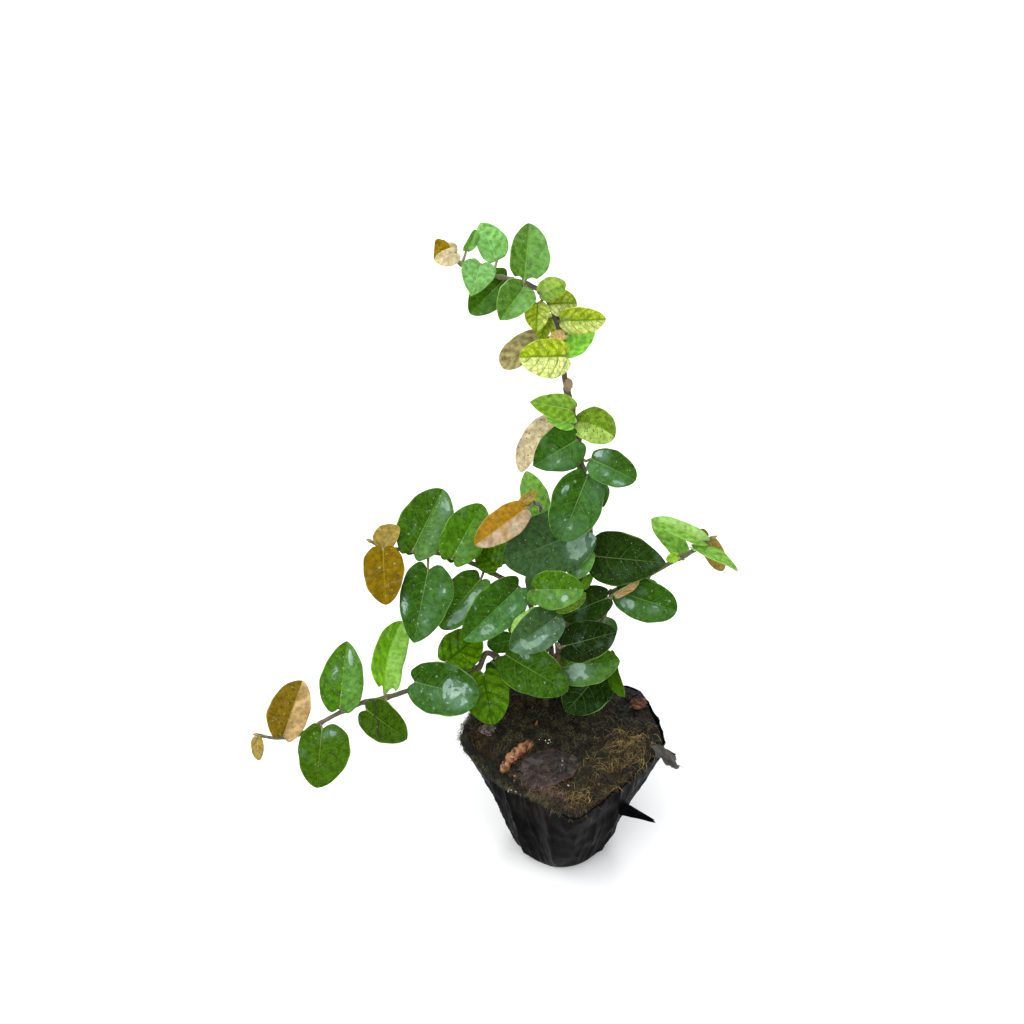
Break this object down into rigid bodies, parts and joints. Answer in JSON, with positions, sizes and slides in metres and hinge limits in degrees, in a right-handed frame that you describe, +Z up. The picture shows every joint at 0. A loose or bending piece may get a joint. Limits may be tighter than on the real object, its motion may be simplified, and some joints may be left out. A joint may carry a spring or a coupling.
{
  "type": "creeping fig in a grow bag",
  "caption": "Young creeping fig with trailing leafy stems and one tall leader, rooted in soil in a black polythene grow bag.",
  "frame": {"origin": "centre of the bag's flat bottom", "axes": "+Z up, -Y towards the viewer of the picture, +X to the viewer's right"},
  "size_m": [0.1584, 0.1036, 0.2106],
  "materials": {
    "film": "thin crumpled black polythene, satin",
    "soil": "damp dark soil with moss and fibres",
    "leaf_green": "wet green leaf, veined",
    "leaf_yellow": "yellowed leaf with green veins",
    "leaf_fresh": "fresh green leaf, veined",
    "leaf_copper": "copper young leaf, glossy",
    "leaf_dry": "dry leaf with dark specks",
    "litter": "dead leaf, matt",
    "bark": "reddish bark, rough"
  },
  "bodies": {
    "root": {"grow_bag": "film", "soil_block": "soil", "leader_lower": "leaf_green", "leader_yellow": "leaf_yellow", "leader_tip": "leaf_fresh", "leader_copper_tip": "leaf_copper", "upper_left_spray": "leaf_green", "upper_left_copper_tip": "leaf_copper", "lower_left_spray": "leaf_green", "lower_left_copper_tip": "leaf_copper", "right_spray": "leaf_green", "right_copper_tip": "leaf_copper", "centre_shoot": "leaf_green", "centre_copper_tip": "leaf_copper", "front_shoot": "leaf_green", "low_right_shoot": "leaf_green", "dry_leaf_tan": "leaf_dry", "dry_leaf_sliver": "leaf_dry", "dry_leaf_beige": "leaf_dry", "litter_copper_curl": "litter", "litter_dead_leaf": "litter", "litter_grey_leaf": "litter", "litter_bark": "bark"}
  },
  "joints": []
}
